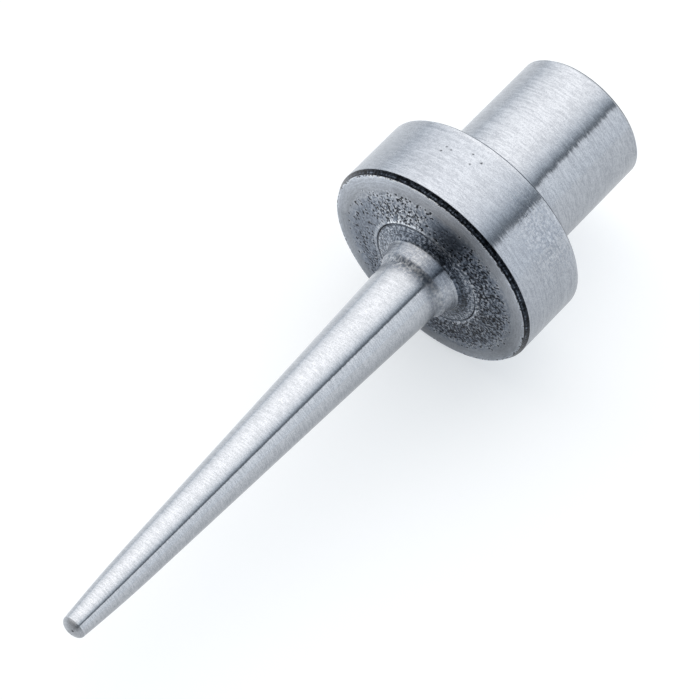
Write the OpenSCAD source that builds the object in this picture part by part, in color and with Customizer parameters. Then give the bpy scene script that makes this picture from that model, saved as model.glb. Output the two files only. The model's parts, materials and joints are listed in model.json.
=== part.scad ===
// Live center for a lathe tailstock: a slim turned point runs in a ball bearing, a thrust
// bearing and a needle bearing inside a round head with a straight shank.
// Every piece is drawn round the Z axis with its shoulder plane at z = 0 and its tip upwards,
// then laid down so that the tip points along -X and the shank along +X.

/* [Head and shank] */
// Diameter of the head
head_d = 31.1; // [30.6:0.1:34]
// Length of the head, from the shoulder to the plane of its front rim
head_len = 10.7; // [10.5:0.05:11.5]
// Diameter of the straight shank
shank_d = 19.05; // [18.5:0.05:22]
// Length of the shank behind the shoulder
shank_len = 20.25; // [20:0.05:24]
// Radial width of the chamfer at the front rim
rim_chamfer_w = 0.4; // [0.2:0.05:0.6]
// Axial length of the chamfer at the front rim
rim_chamfer_len = 0.75; // [0.5:0.05:0.9]
// Height of the front face's crown at the collar, above the rim plane
crown = 0.74; // [0.4:0.02:1]

/* [Point] */
// Diameter of the collar that the cover surrounds
collar_d = 15.7; // [15:0.1:16.2]
// Length of the point, from the plane of the front rim to the tip
point_len = 67.6; // [55:0.2:76]
// Diameter that the cone would have at the plane of the front rim
cone_root_d = 9.6; // [9:0.1:10.4]
// Radius lost per millimetre along the cone
cone_slope = 0.0425; // [0.035:0.0005:0.045]
// Length of the curved nose in front of the cone
nose_len = 12.3; // [8:0.1:16]
// Radius of the nose's long curve
nose_r = 228; // [180:1:400]
// Length of the rounded tip
tip_len = 0.82; // [0.4:0.02:1.2]

/* [Front ball bearing] */
// Bore of the bearing
ball_brg_bore = 10; // [10]
// Outside diameter of the bearing
ball_brg_od = 22; // [22]
// Width of the bearing
ball_brg_w = 6; // [6]
// Number of balls
ball_count = 9; // [7:1:9]
// Diameter of the balls
ball_d = 3.175; // [3:0.005:3.175]

/* [Thrust bearing] */
// Bore of the thrust bearing
thrust_bore = 6; // [6]
// Outside diameter of the thrust bearing
thrust_od = 14; // [14]
// Height of the thrust bearing
thrust_h = 5; // [5]
// Number of thrust balls
thrust_count = 8; // [6:1:9]
// Diameter of the thrust balls
thrust_ball_d = 2.381; // [2.2:0.001:2.4]

/* [Needle bearing] */
// Outside diameter of the drawn cup
needle_brg_od = 10; // [10]
// Length of the drawn cup
needle_brg_len = 8; // [6:0.5:8]
// Number of needle rollers
needle_count = 10; // [8:1:11]
// Diameter of the needle rollers
needle_d = 1.48; // [1.4:0.01:1.48]

/* [Hidden] */
$fn = 96;
eps = 0.01;          // cutters reach this far past the faces that they cut
ball_play = 0.01;    // gap between a rolling element and its track

// Radii worked out from the driving diameters
head_r = head_d / 2;
shank_r = shank_d / 2;
collar_r = collar_d / 2;
journal_r = ball_brg_bore / 2;
stem_r = thrust_bore / 2;
rim_r = head_r - rim_chamfer_w;

// Front cover
cover_bore_r = collar_r + 0.08;          // running gap round the collar
cover_edge = 0.06;                       // edge breaks on both sides of that gap
seat_z = head_len - rim_chamfer_len;     // where the cover meets the housing
spigot_r = 13;
spigot_len = 2.4;
spigot_z = seat_z - spigot_len;
seal_z = spigot_z + 0.75;                // felt groove in the cover's bore
seal_h = 1.6;
seal_groove_r = cover_bore_r + 1.4;
o_ring_wire_r = 0.375;
o_ring_mid_r = spigot_r - o_ring_wire_r;
o_ring_z = spigot_z + 1.2;
o_ring_groove_h = 1.1;

// Axial stack of the bearings, from the cover backwards
spring_strip = 0.3;                      // thickness of the wave spring's strip
spring_wave = 0.6;                       // height of its waves when fitted
spring_in_r = 9.5;
spring_out_r = 10.8;
spring_waves = 3;
front_brg_z = spigot_z - spring_strip - spring_wave - ball_brg_w;
race_float = 0.2;                        // the outer race floats clear of the bore's floor
race_floor_z = front_brg_z - race_float;
thrust_z = front_brg_z - thrust_h;
web_h = 2.5;                             // wall between the thrust and needle bearings
needle_z = thrust_z - web_h - needle_brg_len;
web_bore_r = stem_r + 0.3;
rear_bore_r = 7;
plug_h = 2;
circlip_h = 0.7;
washer_h = 0.6;
washer_play = 0.2;                       // end play of the spindle
washer_z = needle_z - washer_play - washer_h;
circlip_z = washer_z - circlip_h;
stem_end_z = circlip_z - 1.1;

// Front ball bearing
ball_r = ball_d / 2;
ball_pitch_r = (journal_r + ball_brg_od / 2) / 2;
ball_mid_z = front_brg_z + ball_brg_w / 2;
ball_track_r = ball_r * 1.04;
ball_inner_land_r = ball_pitch_r - 1.15;
ball_outer_land_r = ball_pitch_r + 1.15;
shield_t = 0.3;
shield_inset = 0.2;
shield_seat_r = ball_outer_land_r + 0.45;
cage_t = 0.35;                           // sheet that the cage is pressed from
cage_half_w = 0.7;                       // half of the cage's radial width
rivet_r = 0.3;
rivet_head_r = 0.5;
rivet_head_h = 0.22;

// Thrust bearing
thrust_ball_r = thrust_ball_d / 2;
thrust_pitch_r = (stem_r + thrust_od / 2) / 2;
thrust_mid_z = thrust_z + thrust_h / 2;
thrust_track_r = thrust_ball_r * 1.05;
thrust_washer_h = 1.66;
thrust_cage_h = 1;

// Needle bearing
needle_r = needle_d / 2;
needle_pitch_r = 3.75;
needle_len = 6;
needle_mid_z = needle_z + needle_brg_len / 2;
cup_wall = 0.5;
needle_cage_in_r = 3.4;
needle_cage_out_r = 4.1;

// Point
tip_z = head_len + point_len;
root_r = cone_root_d / 2;
nose_z = tip_z - tip_len - nose_len;     // where the cone ends and the nose's curve starts
nose_steps = 6;
tip_steps = 6;
tip_flat_r = 0.37;
crown_z = head_len + crown;              // height of the ring line between cover and collar
boss_slope = 0.295;                      // radius lost per millimetre along the boss
boss_foot_r = 5.62;                      // where the boss meets the fillet at its foot
boss_foot_z = crown_z + 0.78;
fillet_r = 6.15;                         // where that fillet meets the collar's face
fillet_z = crown_z + 0.3;
fillet_corner = [5.735, crown_z + 0.38]; // the corner that the fillet rounds off
fillet_steps = 4;
neck_z = head_len + 3.25;                // where the boss starts to blend into the cone
neck_len = 0.9;
neck_steps = 5;

function cone_r(z) = root_r - cone_slope * (z - head_len);
function nose_curve_r(z) =
    z < nose_z ? cone_r(z) : cone_r(z) - (z - nose_z) * (z - nose_z) / (2 * nose_r);

function boss_r(z) = boss_foot_r - boss_slope * (z - boss_foot_z);
function neck_r(z) =
    let (t = (z - neck_z) / neck_len, share = t * t * (3 - 2 * t))
    boss_r(z) + share * (cone_r(z) - boss_r(z));

// Corner points of the point's outline, from the collar's face to the tip
fillet_pts = [for (i = [0 : fillet_steps])
    let (t = i / fillet_steps)
    (1 - t) * (1 - t) * [fillet_r, fillet_z] + 2 * t * (1 - t) * fillet_corner
        + t * t * [boss_foot_r, boss_foot_z]];
neck_pts = [for (i = [0 : neck_steps])
    let (z = neck_z + neck_len * i / neck_steps) [neck_r(z), z]];
nose_pts = [for (i = [0 : nose_steps])
    let (z = nose_z + nose_len * i / nose_steps) [nose_curve_r(z), z]];
tip_edge_r = nose_curve_r(nose_z + nose_len);
tip_pts = [for (i = [1 : tip_steps])
    let (a = 90 * i / tip_steps)
    [tip_flat_r + (tip_edge_r - tip_flat_r) * cos(a), tip_z - tip_len + tip_len * sin(a)]];

// Lays a piece drawn round Z down along X, tip towards -X
module lay() {
    rotate([0, -90, 0]) children();
}

// Straight cylinder between two heights
module rod(r, z0, z1) {
    translate([0, 0, z0]) cylinder(r = r, h = z1 - z0);
}

// Ring with square edges between two heights
module ring(r_in, r_out, z0, z1) {
    difference() {
        rod(r_out, z0, z1);
        rod(r_in, z0 - eps, z1 + eps);
    }
}

// Round wire ring
module torus(mid_r, wire_r, z) {
    translate([0, 0, z]) rotate_extrude() translate([mid_r, 0]) circle(r = wire_r, $fn = 48);
}

// Copies of the children evenly spaced round Z
module around(count) {
    for (i = [0 : count - 1]) rotate([0, 0, 360 * i / count]) children();
}

module housing() color([0.62, 0.65, 0.70]) lay() {
    shank_edge = 0.5;
    head_edge = 0.3;
    mouth_edge = 0.2;
    difference() {
        rotate_extrude() polygon([
            [0, -shank_len], [shank_r - shank_edge, -shank_len],
            [shank_r, -shank_len + shank_edge], [shank_r, 0],
            [head_r - head_edge, 0], [head_r, head_edge],
            [head_r, seat_z], [0, seat_z]
        ]);
        rod(spigot_r, spigot_z - 0.1, seat_z + eps);
        rod(ball_brg_od / 2, race_floor_z, seat_z);
        rod(thrust_od / 2, thrust_z, race_floor_z + eps);
        rod(web_bore_r, needle_z, thrust_z + eps);
        rod(needle_brg_od / 2, needle_z, needle_z + needle_brg_len);
        rod(rear_bore_r, -shank_len - eps, needle_z + eps);
        translate([0, 0, -shank_len - eps])
            cylinder(r1 = rear_bore_r + mouth_edge, r2 = rear_bore_r, h = mouth_edge);
    }
}

module front_cover() color([0.58, 0.61, 0.66]) lay() difference() {
    relief_r = 10.2;
    relief_h = 0.3;
    rotate_extrude() polygon([
        [cover_bore_r, spigot_z + relief_h], [relief_r, spigot_z + relief_h],
        [relief_r, spigot_z], [spigot_r - 0.2, spigot_z], [spigot_r, spigot_z + 0.2],
        [spigot_r, seat_z], [head_r, seat_z], [rim_r, head_len],
        [cover_bore_r + cover_edge, crown_z], [cover_bore_r, crown_z - cover_edge]
    ]);
    ring(cover_bore_r - eps, seal_groove_r, seal_z, seal_z + seal_h);
    ring(spigot_r - 2 * o_ring_wire_r, spigot_r + eps,
        o_ring_z - o_ring_groove_h / 2, o_ring_z + o_ring_groove_h / 2);
}

module felt_seal() color([0.25, 0.24, 0.22]) lay()
    ring(collar_r + 0.03, seal_groove_r, seal_z, seal_z + seal_h);

module cover_o_ring() color([0.08, 0.08, 0.08]) lay()
    torus(o_ring_mid_r, o_ring_wire_r, o_ring_z);

// Flat strip bent into waves round the axis, with its crests close to the cover and the race
module wave_spring() color([0.50, 0.52, 0.55]) lay() {
    steps = 48;
    gap = 0.02;
    lift = (spring_wave - gap) / 2;
    mid = front_brg_z + ball_brg_w + spring_wave / 2;
    corners = [[spring_in_r, 0], [spring_out_r, 0],
               [spring_out_r, spring_strip], [spring_in_r, spring_strip]];
    points = [for (i = [0 : steps - 1], c = corners)
        let (a = 360 * i / steps)
        [c[0] * cos(a), c[0] * sin(a), mid + c[1] + lift * sin(spring_waves * a)]];
    faces = [for (i = [0 : steps - 1], k = [0 : 3])
        let (j = (i + 1) % steps, m = (k + 1) % 4)
        [4 * i + k, 4 * i + m, 4 * j + m, 4 * j + k]];
    polyhedron(points, faces);
}

module front_bearing_outer_race() color([0.72, 0.74, 0.77]) lay() {
    edge = 0.3;
    out_r = ball_brg_od / 2;
    z0 = front_brg_z;
    z1 = front_brg_z + ball_brg_w;
    difference() {
        rotate_extrude() polygon([
            [ball_outer_land_r, z0], [out_r - edge, z0], [out_r, z0 + edge],
            [out_r, z1 - edge], [out_r - edge, z1], [ball_outer_land_r, z1]
        ]);
        torus(ball_pitch_r + ball_r + ball_play - ball_track_r, ball_track_r, ball_mid_z);
        for (z = [z0 - eps, z1 - shield_inset - shield_t])
            rod(shield_seat_r, z, z + shield_inset + shield_t + eps);
    }
}

module bearing_shield(z) color([0.66, 0.68, 0.71]) lay()
    ring(ball_inner_land_r + 0.2, shield_seat_r, z, z + shield_t);

module front_bearing_front_shield()
    bearing_shield(front_brg_z + ball_brg_w - shield_inset - shield_t);

module front_bearing_rear_shield() bearing_shield(front_brg_z + shield_inset);

module front_bearing_inner_race() color([0.74, 0.76, 0.79]) lay() {
    edge = 0.3;
    z0 = front_brg_z;
    z1 = front_brg_z + ball_brg_w;
    difference() {
        rotate_extrude() polygon([
            [journal_r + edge, z0], [ball_inner_land_r, z0], [ball_inner_land_r, z1],
            [journal_r + edge, z1], [journal_r, z1 - edge], [journal_r, z0 + edge]
        ]);
        torus(ball_pitch_r - ball_r - ball_play + ball_track_r, ball_track_r, ball_mid_z);
    }
}

module front_bearing_balls() color([0.85, 0.86, 0.88]) lay()
    around(ball_count) translate([ball_pitch_r, 0, ball_mid_z]) sphere(r = ball_r);

// One pressed half of the ribbon cage: a flat ring that bulges round each ball
module cage_half(side) color([0.70, 0.68, 0.62]) lay() translate([0, 0, ball_mid_z]) {
    pocket_r = ball_r + 0.06;
    in_r = ball_pitch_r - cage_half_w;
    out_r = ball_pitch_r + cage_half_w;
    reach = pocket_r + cage_t;
    difference() {
        intersection() {
            union() {
                mirror([0, 0, side < 0 ? 1 : 0]) ring(in_r, out_r, 0, cage_t);
                around(ball_count) translate([ball_pitch_r, 0, 0]) sphere(r = reach);
            }
            mirror([0, 0, side < 0 ? 1 : 0]) ring(in_r, out_r, 0, reach + 1);
        }
        around(ball_count) translate([ball_pitch_r, 0, 0]) sphere(r = pocket_r);
        rotate([0, 0, 180 / ball_count]) around(ball_count)
            translate([ball_pitch_r, 0, 0]) rod(rivet_r, -1, 1);
    }
}

module front_bearing_cage_front() cage_half(1);

module front_bearing_cage_rear() cage_half(-1);

module front_bearing_cage_rivets() color([0.76, 0.72, 0.60]) lay() translate([0, 0, ball_mid_z])
    rotate([0, 0, 180 / ball_count]) around(ball_count) translate([ball_pitch_r, 0, 0]) {
        rod(rivet_r, -cage_t, cage_t);
        rod(rivet_head_r, cage_t, cage_t + rivet_head_h);
        rod(rivet_head_r, -cage_t - rivet_head_h, -cage_t);
    }

// Grooved washer between two heights, with its ball track at the thrust bearing's middle
module thrust_washer(r_in, r_out, z0, z1) color([0.72, 0.74, 0.77]) lay() difference() {
    ring(r_in, r_out, z0, z1);
    track_z = thrust_ball_r + ball_play - thrust_track_r;
    torus(thrust_pitch_r, thrust_track_r,
        z0 < thrust_mid_z ? thrust_mid_z - track_z : thrust_mid_z + track_z);
}

module thrust_housing_washer()
    thrust_washer(stem_r + 0.2, thrust_od / 2, thrust_z, thrust_z + thrust_washer_h);

module thrust_shaft_washer()
    thrust_washer(stem_r, thrust_od / 2 - 0.1,
        thrust_z + thrust_h - thrust_washer_h, thrust_z + thrust_h);

module thrust_bearing_balls() color([0.85, 0.86, 0.88]) lay()
    around(thrust_count) translate([thrust_pitch_r, 0, thrust_mid_z]) sphere(r = thrust_ball_r);

module thrust_bearing_cage() color([0.78, 0.68, 0.42]) lay() difference() {
    ring(stem_r + 0.4, thrust_od / 2 - 0.4,
        thrust_mid_z - thrust_cage_h / 2, thrust_mid_z + thrust_cage_h / 2);
    around(thrust_count) translate([thrust_pitch_r, 0, 0])
        rod(thrust_ball_r + 0.06, thrust_mid_z - thrust_cage_h, thrust_mid_z + thrust_cage_h);
}

module needle_bearing_cup() color([0.68, 0.70, 0.73]) lay() difference() {
    ring(stem_r + 0.35, needle_brg_od / 2, needle_z, needle_z + needle_brg_len);
    rod(needle_brg_od / 2 - cup_wall, needle_z + cup_wall, needle_z + needle_brg_len - cup_wall);
}

module needle_rollers() color([0.85, 0.86, 0.88]) lay() around(needle_count)
    translate([needle_pitch_r, 0, 0]) {
        nib = 0.2;
        rod(needle_r, needle_mid_z - needle_len / 2 + nib, needle_mid_z + needle_len / 2 - nib);
        for (side = [-1, 1])
            translate([0, 0, needle_mid_z + side * (needle_len / 2 - nib)])
                mirror([0, 0, side < 0 ? 1 : 0])
                    cylinder(r1 = needle_r, r2 = needle_r - nib, h = nib);
    }

module needle_cage() color([0.55, 0.56, 0.58]) lay() difference() {
    cage_len = needle_brg_len - 2 * cup_wall - 0.2;
    window_w = needle_d + 0.1;
    window_len = needle_len + 0.1;
    ring(needle_cage_in_r, needle_cage_out_r,
        needle_mid_z - cage_len / 2, needle_mid_z + cage_len / 2);
    around(needle_count)
        translate([needle_pitch_r - 1, -window_w / 2, needle_mid_z - window_len / 2])
            cube([2, window_w, window_len]);
}

module rear_plug() color([0.55, 0.58, 0.62]) lay() rotate_extrude() polygon([
    [0, -shank_len], [rear_bore_r - 0.4, -shank_len], [rear_bore_r, -shank_len + 0.4],
    [rear_bore_r, -shank_len + plug_h - 0.2], [rear_bore_r - 0.2, -shank_len + plug_h],
    [0, -shank_len + plug_h]
]);

module point_spindle() color([0.66, 0.69, 0.74]) lay() {
    brg_top_z = front_brg_z + ball_brg_w;
    abutment_r = 6.3;
    collar_z = spigot_z + 0.25;
    journal_end_z = front_brg_z + 0.15;
    groove_r = stem_r - 0.2;
    stem_edge = 0.4;
    rotate_extrude() polygon(concat(
        [
            [0, stem_end_z], [stem_r - stem_edge, stem_end_z], [stem_r, stem_end_z + stem_edge],
            [stem_r, circlip_z], [groove_r, circlip_z],
            [groove_r, circlip_z + circlip_h], [stem_r, circlip_z + circlip_h],
            [stem_r, journal_end_z], [journal_r - 0.3, journal_end_z],
            [journal_r, journal_end_z + 0.3], [journal_r, brg_top_z],
            [abutment_r, brg_top_z], [abutment_r, collar_z],
            [collar_r, collar_z], [collar_r, crown_z - cover_edge],
            [collar_r - cover_edge, crown_z]
        ],
        fillet_pts, neck_pts, nose_pts, tip_pts, [[0, tip_z]]
    ));
}

module rear_washer() color([0.60, 0.62, 0.65]) lay()
    ring(stem_r, 4.9, washer_z, washer_z + washer_h);

// External circlip: a C-shaped ring, thicker opposite its gap, with two eyes for the pliers
module retaining_ring() color([0.35, 0.36, 0.38]) lay() {
    groove_r = stem_r - 0.2;
    offset_y = -0.25;
    ring_r = 4.15;
    lug_r = 0.95;
    lug_y = 4.1;
    lug_x = 1.15;
    hole_r = 0.45;
    translate([0, 0, circlip_z]) difference() {
        union() {
            translate([0, offset_y, 0]) cylinder(r = ring_r, h = circlip_h);
            for (side = [-1, 1])
                translate([side * lug_x, lug_y, 0]) cylinder(r = lug_r, h = circlip_h);
        }
        translate([0, 0, -1]) cylinder(r = groove_r, h = circlip_h + 2);
        translate([-0.5, 0, -1]) cube([1, 6, circlip_h + 2]);
        for (side = [-1, 1])
            translate([side * lug_x, lug_y, -1]) cylinder(r = hole_r, h = circlip_h + 2);
    }
}

housing();
front_cover();
felt_seal();
cover_o_ring();
wave_spring();
front_bearing_outer_race();
front_bearing_front_shield();
front_bearing_rear_shield();
thrust_housing_washer();
needle_bearing_cup();
rear_plug();
point_spindle();
front_bearing_inner_race();
thrust_shaft_washer();
rear_washer();
retaining_ring();
front_bearing_balls();
front_bearing_cage_front();
front_bearing_cage_rear();
front_bearing_cage_rivets();
thrust_bearing_balls();
thrust_bearing_cage();
needle_rollers();
needle_cage();
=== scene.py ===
import json
import math

import bpy
import numpy as np
from mathutils import Matrix, Vector


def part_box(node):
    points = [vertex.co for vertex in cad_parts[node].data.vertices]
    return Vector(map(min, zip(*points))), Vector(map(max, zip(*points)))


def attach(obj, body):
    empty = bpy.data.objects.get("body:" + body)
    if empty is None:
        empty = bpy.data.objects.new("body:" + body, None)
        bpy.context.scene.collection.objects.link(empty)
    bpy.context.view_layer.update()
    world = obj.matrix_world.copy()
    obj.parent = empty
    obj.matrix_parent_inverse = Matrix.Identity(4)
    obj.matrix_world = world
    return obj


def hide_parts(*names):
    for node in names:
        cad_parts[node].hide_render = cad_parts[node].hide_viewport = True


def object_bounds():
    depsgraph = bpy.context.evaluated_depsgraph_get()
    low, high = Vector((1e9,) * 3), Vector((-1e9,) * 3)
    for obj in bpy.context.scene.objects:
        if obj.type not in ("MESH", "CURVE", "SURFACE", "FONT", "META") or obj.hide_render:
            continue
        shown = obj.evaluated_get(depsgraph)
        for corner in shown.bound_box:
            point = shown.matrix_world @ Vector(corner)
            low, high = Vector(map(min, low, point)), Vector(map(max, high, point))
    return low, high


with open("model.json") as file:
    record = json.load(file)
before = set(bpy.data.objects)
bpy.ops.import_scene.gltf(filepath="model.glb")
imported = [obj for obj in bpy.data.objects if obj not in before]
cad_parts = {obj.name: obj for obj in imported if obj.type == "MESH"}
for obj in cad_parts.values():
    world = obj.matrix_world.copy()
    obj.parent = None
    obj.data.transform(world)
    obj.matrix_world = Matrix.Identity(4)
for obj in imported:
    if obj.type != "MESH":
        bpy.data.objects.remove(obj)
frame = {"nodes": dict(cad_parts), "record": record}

CAD_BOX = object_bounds()
MM = 0.001
rng = np.random.default_rng(7)

# ---------------------------------------------------------------- sizes, in millimetres
# An x is measured along the axis: the tip is at the low end, the shank at the high end.


def box_mm(node):
    """A CAD node's low x, high x and largest radius."""
    low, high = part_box(node)
    return low[0] / MM, high[0] / MM, high[1] / MM


def mount(name):
    """A mount of the part's record."""
    return next(m for m in frame["record"]["mounts"] if m["name"] == name)


SEAT_X, SHANK_END_X, HEAD_R = box_mm("housing")
CROWN_X, SPIGOT_X, _ = box_mm("front_cover")
TIP_X, STEM_END_X, COLLAR_R = box_mm("point_spindle")
RACE_FRONT_X, RACE_REAR_X, RACE_R = box_mm("front_bearing_outer_race")
_, THRUST_REAR_X, THRUST_R = box_mm("thrust_housing_washer")
CUP_FRONT_X, CUP_REAR_X, CUP_R = box_mm("needle_bearing_cup")
PLUG_X, _, PLUG_R = box_mm("rear_plug")
SEAL_FRONT_X, SEAL_REAR_X, SEAL_R = box_mm("felt_seal")
O_RING_FRONT_X, O_RING_REAR_X, SPIGOT_R = box_mm("cover_o_ring")
_, CIRCLIP_X, _ = box_mm("rear_washer")
_, CIRCLIP_END_X, _ = box_mm("retaining_ring")
SHANK_R = mount("shank")["dims"]["r_mm"]
JOURNAL_R = 5.0
STEM_R = 3.0
CIRCLIP_GROOVE_R = 2.8
WEB_BORE_R = 3.3

RIM_CHAMFER_W = 0.4
RIM_CHAMFER_LEN = 0.75
RIM_X = SEAT_X - RIM_CHAMFER_LEN
RIM_R = HEAD_R - RIM_CHAMFER_W
COVER_BORE_R = COLLAR_R + 0.08      # leaves the running gap round the collar
POINT_LEN = RIM_X - TIP_X
CONE_ROOT_R = 4.8
CONE_SLOPE = 0.0425
NOSE_LEN = 12.3
NOSE_CURVE_R = 228.0
TIP_LEN = 0.82
TIP_FLAT_R = 0.37

# CROWN, NECK and each FOOT and CORNER are distances ahead of the rim plane
CROWN = RIM_X - CROWN_X
BOSS_SLOPE = 0.295
BOSS_FOOT = CROWN + 0.78
BOSS_FOOT_R = 5.62
FILLET_FOOT = CROWN + 0.3
FILLET_FOOT_R = 6.15
FILLET_CORNER = CROWN + 0.38
FILLET_CORNER_R = 5.735
NECK = 3.25
NECK_LEN = 0.9

HEAD_EDGE = 0.3
SHANK_EDGE = 0.5
MOUTH_EDGE = 0.2
GAP_EDGE = 0.06                     # edge breaks on both sides of the running gap
SPIGOT_EDGE = 0.2
SPIGOT_GAP = 0.1
SEAT_GAP = 0.2                      # from the outer race to the floor of its bore
RELIEF_R = 10.2
RELIEF_LEN = 0.3
O_RING_GROOVE_DEPTH = 0.75
O_RING_GROOVE_HALF = 0.55
STEM_EDGE = 0.4
JOURNAL_EDGE = 0.3
JOURNAL_GAP = 0.15
ABUTMENT_R = 6.3
COLLAR_BACK_X = SPIGOT_X - 0.25
PLUG_EDGE = 0.4
PLUG_INNER_EDGE = 0.2
SHARP = 0.02                        # edge radius of a corner that looks sharp

HOUSING_SEGMENTS = 480
COVER_SEGMENTS = 600
SPINDLE_SEGMENTS = 400
PLUG_SEGMENTS = 256


# ---------------------------------------------------------------- outlines and lathe meshes
def rounded(corners, steps=4):
    """Outline points from (x, r, edge radius) corners: each edge radius becomes a small arc."""
    points = []
    last = len(corners) - 1
    for i, (x, r, edge) in enumerate(corners):
        here = np.array([x, r])
        if edge == 0 or i in (0, last):
            points.append(here)
            continue
        before = np.array(corners[i - 1][:2]) - here
        after = np.array(corners[i + 1][:2]) - here
        room = min(np.linalg.norm(before), np.linalg.norm(after)) * 0.45
        before /= np.linalg.norm(before)
        after /= np.linalg.norm(after)
        half = math.acos(np.clip(before @ after, -1, 1)) / 2
        reach = min(edge / math.tan(half), room)
        start, end = here + before * reach, here + after * reach
        count = 1 if edge < 0.03 else steps
        for k in range(count + 1):
            t = k / count
            points.append((1 - t) ** 2 * start + 2 * t * (1 - t) * here + t * t * end)
    return points


def refined(points, spacing, hold=0.02):
    """Adds points spacing(x, r) apart, with one close to each corner."""
    out = [points[0]]
    for a, b in zip(points, points[1:]):
        length = np.linalg.norm(b - a)
        if length > 6 * hold:
            reach = hold
            while reach < length - 2 * hold:
                out.append(a + (b - a) * reach / length)
                reach += spacing(*out[-1])
            out.append(b + (a - b) * hold / length)
        out.append(b)
    return out


def lathe(name, body, node, outline, segments, finish=None, closed=False):
    """A mesh turned round the X axis from outline points (x, r), which replaces a CAD node.
    The outline is run clockwise, so that the faces point outwards.
    finish(x, r, angle) gives how far the surface is sunk, in mm, and its point attributes:
    marks is dirt in pits, tone is brightness with painted light and shade in it, grit is the
    strength of fine mottling and haze is how dull the reflections are."""
    rows = np.array(outline, float)
    ahead = np.roll(rows, -1, 0)
    if (rows[:, 0] * ahead[:, 1] - ahead[:, 0] * rows[:, 1]).sum() > 0:
        rows = rows[::-1]
    along = np.roll(rows, -1, 0) - np.roll(rows, 1, 0)
    if not closed:
        along[0], along[-1] = rows[1] - rows[0], rows[-1] - rows[-2]
    normal = np.stack([-along[:, 1], along[:, 0]], 1)
    normal /= np.linalg.norm(normal, axis=1)[:, None] + 1e-12
    angle = np.arange(segments) * 2 * math.pi / segments
    x = np.repeat(rows[:, :1], segments, 1)
    r = np.repeat(rows[:, 1:], segments, 1)
    layers = {key: np.full_like(x, plain)
              for key, plain in (("marks", 0), ("tone", 1), ("grit", 0), ("haze", 0))}
    if finish:
        sunk, given = finish(rows[:, 0], rows[:, 1], angle)
        layers.update(given)
        x = x - normal[:, :1] * sunk
        r = r - normal[:, 1:] * sunk
    capped = [not closed and rows[i, 1] < 1e-6 for i in (0, -1)]
    first, last = int(capped[0]), len(rows) - int(capped[1])
    grid = np.stack([x, r * np.cos(angle), r * np.sin(angle)], -1)[first:last]
    verts = grid.reshape(-1, 3)
    layers = {key: (layer + 0 * x)[first:last].ravel() for key, layer in layers.items()}
    count = last - first
    i = np.arange(count if closed else count - 1)[:, None]
    j = np.arange(segments)[None, :]
    up, side = (i + 1) % count, (j + 1) % segments
    quads = np.stack([i * segments + j, i * segments + side,
                      up * segments + side, up * segments + j], -1).reshape(-1, 4)
    faces = [tuple(q) for q in quads.tolist()]
    for end, at_end in ((0, capped[0]), (-1, capped[1])):
        if at_end:
            verts = np.vstack([verts, [rows[end, 0], 0, 0]])
            ring = 0 if end == 0 else (count - 1) * segments
            layers = {key: np.append(layer, layer[ring]) for key, layer in layers.items()}
            for k in range(segments):
                pair = (ring + k, ring + (k + 1) % segments)
                faces.append((len(verts) - 1, *(pair[::-1] if end == 0 else pair)))
    mesh = bpy.data.meshes.new(name)
    mesh.from_pydata((verts * MM).tolist(), [], faces)
    for key, layer in layers.items():
        mesh.attributes.new(key, "FLOAT", "POINT").data.foreach_set("value", layer)
    mesh.polygons.foreach_set("use_smooth", [True] * len(faces))
    mesh.validate()
    piece = bpy.data.objects.new(name, mesh)
    bpy.context.scene.collection.objects.link(piece)
    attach(piece, body)
    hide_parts(node)
    return piece


# ---------------------------------------------------------------- surface marks
# Angles run round the X axis, from +Y towards +Z.
PIT_DEPTH_SHARE = 0.3               # a random pit's depth over its radius
DARK_DEPTH = 0.03                   # a pit this deep is fully dark
FACE_DARK_DEPTH = 0.035             # the same on the cover's face
RIM_REACH = 1.7                     # how far a pit and the painted glint on its rim reach, in pit radii

# Pits on the face at an angle in degrees: the share that is kept
PIT_SHARE = [(0, 0.12), (25, 0.15), (40, 0.6), (80, 0.65), (90, 0.15), (114, 0.15), (124, 0.7),
             (135, 1), (260, 1), (275, 0.5), (330, 0.4), (345, 0.15), (360, 0.12)]


def profile(value, stops):
    """The level at a value, between (value, level) stops."""
    places, levels = zip(*stops)
    return np.interp(value, places, levels)


def pit_marks(pits, r, angle, rows):
    """One round dimple for each pit (r, angle, radius, depth): how far a grid of rows is sunk,
    and where each pit's lighter rim is, a painted glint."""
    sunk = np.zeros((len(r), len(angle)))
    rim_glints = np.zeros((len(r), len(angle)))
    for pit_r, pit_angle, size, depth in pits:
        near = np.where(rows & (np.abs(r - pit_r) < RIM_REACH * size))[0]
        turn = (angle - pit_angle + math.pi) % (2 * math.pi) - math.pi
        cols = np.where(np.abs(turn) * pit_r < RIM_REACH * size)[0]
        if len(near) == 0 or len(cols) == 0:
            continue
        away = np.hypot(r[near, None] - pit_r, turn[None, cols] * pit_r) / size
        patch = np.ix_(near, cols)
        dip = depth * np.clip(1 - away ** 2, 0, 1) ** 0.7
        # A painted glint on the ring just outside each pit.
        rim = np.clip(1 - np.abs(away - 1.25) / 0.45, 0, 1)
        sunk[patch] = np.maximum(sunk[patch], dip)
        rim_glints[patch] = np.maximum(rim_glints[patch], rim)
    return sunk, rim_glints * (sunk == 0)


def scatter_pits(count, r_low, r_high, sizes, density):
    """Random pits between two radii; density(angle in degrees) is the share that is kept."""
    pits = []
    for _ in range(count):
        r = math.sqrt(rng.uniform(r_low ** 2, r_high ** 2))
        angle = rng.uniform(0, 2 * math.pi)
        size = rng.uniform(*sizes)
        keep = rng.uniform()
        outward = (r - r_low) / (r_high - r_low)
        if keep < density(math.degrees(angle)) * (1 - outward ** 2):
            pits.append((r, angle, size, size * PIT_DEPTH_SHARE))
    return pits


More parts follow.
